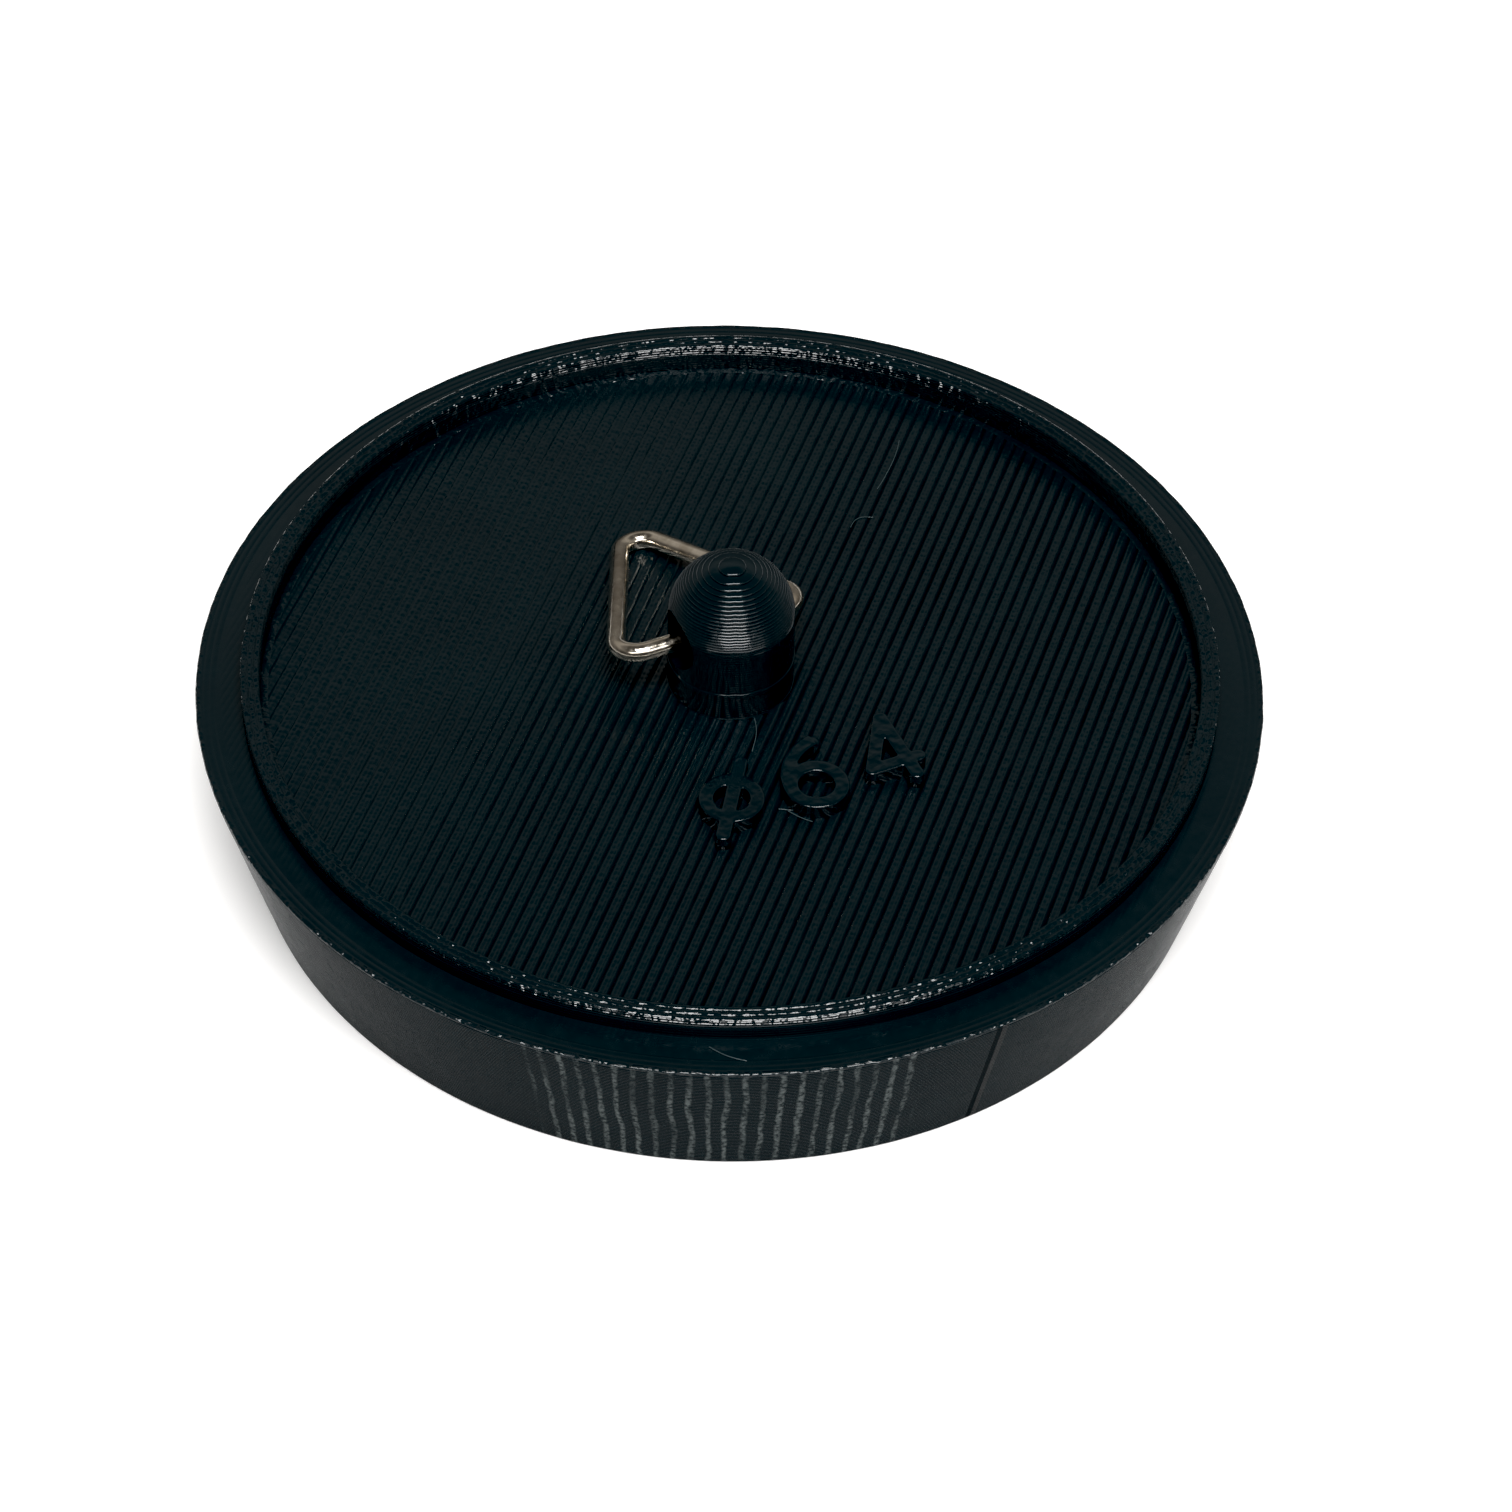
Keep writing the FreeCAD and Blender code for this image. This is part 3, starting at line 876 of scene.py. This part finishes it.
wall = {
    "streakPitch": 0.00115,
    # the wall's lit side facing the front box, its half-width in degrees, and the painted highlight tone of
    # the streaks there
    "highlightMiddle": -115.0,
    "highlightSpan": 20.0,
    "streakHighlightTone": (0.085, 0.10, 0.10, 1),
    "wander": 5.0,
    "gloss": 0.07,        # the wall is printed leaning out, so it is duller
    "ridgeGloss": 0.05,   # the ridge's outer side, below its top layers
}
wallPlastic = printedPlastic("printed plastic wall", 0.05, wallBump)
wallPlastic.node_tree.nodes["Principled BSDF"].inputs["Specular IOR Level"].default_value = wall["gloss"]
# paints pale highlight streaks on the wall's side facing the front box
paintStreakHighlights(wallPlastic)
paint(discBody, printedPlastic("printed plastic flange", 0.05, flangeBump))
discBody.data.materials.append(wallPlastic)
for face in discBody.data.polygons:
    middle = face.center
    if middle.z < flangeLevel - 0.0001 and math.hypot(middle.x, middle.y) > disc["footRadius"] - 0.0003:
        face.material_index = 1
paint(floorLines, printedPlastic("printed plastic floor", 0.05, grainedLines, 2.0))
paint(rimBead, printedPlastic("printed plastic ridge", -0.02, speckledBeads(0.000055, 1700.0)))
dullPlastic = printedPlastic("printed plastic ridge side", 0.05)
dullPlastic.node_tree.nodes["Principled BSDF"].inputs["Specular IOR Level"].default_value = wall["ridgeGloss"]
rimBead.data.materials.append(dullPlastic)
for face in rimBead.data.polygons:
    middle = face.center
    if middle.z < ridgeHigh.z - 0.0005 and math.hypot(middle.x, middle.y) > ridgeMiddle:
        face.material_index = 1
paint(knobBody, printedPlastic("printed plastic knob", -0.04, speckledBeads(0.000012), 0.5))
paint(markStrokes, printedPlastic("printed plastic mark", -0.05, speckledBeads(0.00002), 0.6))

wispPlastic = printedPlastic("stretched plastic string", 0.1)
wispPlastic.node_tree.nodes["Mix"].inputs["A"].default_value = wisps["dark"]
wispPlastic.node_tree.nodes["Mix"].inputs["B"].default_value = wisps["pale"]
paint(printWisps, wispPlastic)

nickel = {
    "pale": (0.86, 0.79, 0.68, 1),
    "dark": (0.62, 0.555, 0.46, 1),
    "rough": (0.10, 0.26),
}


def brightWire():
    material, nodes, links, shader, coords = startMaterial("bright nickel wire")
    shader.inputs["Metallic"].default_value = 1.0
    cloud = noiseNode(nodes, links, coords, 900.0, 4.0)
    tone = nodes.new("ShaderNodeMix")
    tone.data_type = "RGBA"
    tone.inputs["A"].default_value = nickel["dark"]
    tone.inputs["B"].default_value = nickel["pale"]
    links.new(rampNode(nodes, links, cloud, 0.35, 0.6, 0, 1), tone.inputs["Factor"])
    links.new(tone.outputs["Result"], shader.inputs["Base Color"])
    scuff = noiseNode(nodes, links, coords, 2500.0, 3.0)
    links.new(rampNode(nodes, links, scuff, 0.35, 0.7, *nickel["rough"]), shader.inputs["Roughness"])
    dents = noiseNode(nodes, links, coords, 1400.0, 2.0)
    links.new(bumpNode(nodes, links, dents, 0.00001), shader.inputs["Normal"])
    return material


paint(ringBent, brightWire())
print("finishes set")

for piece, node, slot in (
    (discBody, "plug_disc", "disc_plastic"),
    (rimBead, "rim_ridge", "ridge_plastic"),
    (knobBody, "pull_knob", "knob_plastic"),
    (markStrokes, "size_mark", "mark_plastic"),
):
    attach(piece, "plug")
    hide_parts(node)
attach(floorLines, "plug")
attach(printWisps, "plug")
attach(ringBent, "ring")
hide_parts("pull_ring")


# Table and light
studio = {
    "tableWide": 6.0,
    "tableTone": (0.92, 0.91, 0.90, 1),
    "tableGlow": 0.22,
    "skyTone": (1.0, 0.94, 0.86, 1),
    # (height, strength) from level, 0, to overhead, 1
    "sky": ((0.0, 0.08), (0.35, 0.13), (0.60, 0.36), (0.66, 0.31),
            (0.71, 0.21), (0.77, 0.10), (1.0, 0.06)),
    "cameraSide": 0.35,   # share of the sky's strength on the camera's side
    "black": 0.0058,      # the deepest tones go to black
    "frontTurn": 10,      # both boxes stand a little to the right of the camera
    # degrees up, distance, width, height, power
    "frontBox": (43, 0.8, 1.34, 0.17, 2.7),
    "highBox": (69, 1.0, 0.5, 0.42, 14.0),
}


def buildTable():
    clearSelection()
    bpy.ops.mesh.primitive_plane_add(size=studio["tableWide"], location=(0, 0, 0))
    table = takeNew("table")
    editAll()
    bpy.ops.mesh.subdivide(number_cuts=3)
    bpy.ops.object.mode_set(mode="OBJECT")
    material, nodes, links, shader, coords = startMaterial("matt white table")
    shader.inputs["Base Color"].default_value = studio["tableTone"]
    shader.inputs["Roughness"].default_value = 0.75
    shader.inputs["Emission Color"].default_value = (1, 1, 1, 1)
    shader.inputs["Emission Strength"].default_value = studio["tableGlow"]
    grain = noiseNode(nodes, links, coords, 400.0)
    links.new(bumpNode(nodes, links, grain, 0.00002), shader.inputs["Normal"])
    paint(table, material)


def softbox(name, riseDegrees, away, wide, tall, power):
    light = bpy.data.lights.new(name, "AREA")
    light.shape = "RECTANGLE"
    light.size = wide
    light.size_y = tall
    light.energy = power
    lamp = bpy.data.objects.new(name, light)
    bpy.context.scene.collection.objects.link(lamp)
    out = directionAt(view["turn"] + studio["frontTurn"], riseDegrees)
    lamp.location = out * away
    lamp.rotation_mode = "QUATERNION"
    lamp.rotation_quaternion = (-out).to_track_quat("-Z", "Y")


def buildWorld():
    world = bpy.data.worlds.new("studio")
    bpy.context.scene.world = world
    world.use_nodes = True
    nodes, links = world.node_tree.nodes, world.node_tree.links
    coords = nodes.new("ShaderNodeTexCoord")
    split = nodes.new("ShaderNodeSeparateXYZ")
    links.new(coords.outputs["Generated"], split.inputs["Vector"])
    ramp = nodes.new("ShaderNodeValToRGB")
    stops = ramp.color_ramp.elements
    while len(stops) < len(studio["sky"]):
        stops.new(1.0)
    for stop, (height, strength) in zip(stops, studio["sky"]):
        stop.position = height
        stop.color = (strength, strength, strength, 1)
    links.new(split.outputs["Z"], ramp.inputs["Fac"])
    ahead = nodes.new("ShaderNodeVectorMath")
    ahead.operation = "DOT_PRODUCT"
    links.new(coords.outputs["Generated"], ahead.inputs[0])
    ahead.inputs[1].default_value = (-towards.x, -towards.y, 0)
    side = rampNode(nodes, links, ahead.outputs["Value"], -0.3, 0.3, studio["cameraSide"], 1.0)
    level = mathNode(nodes, links, "MULTIPLY", ramp.outputs["Color"], side)
    links.new(level, nodes["Background"].inputs["Strength"])
    nodes["Background"].inputs["Color"].default_value = studio["skyTone"]


buildTable()
buildWorld()
softbox("front box", *studio["frontBox"])
softbox("high box", *studio["highBox"])
finish = bpy.context.scene.view_settings
finish.view_transform = "Standard"
finish.use_curve_mapping = True
finish.curve_mapping.black_level = (studio["black"],) * 3
finish.curve_mapping.update()
print("studio lit")
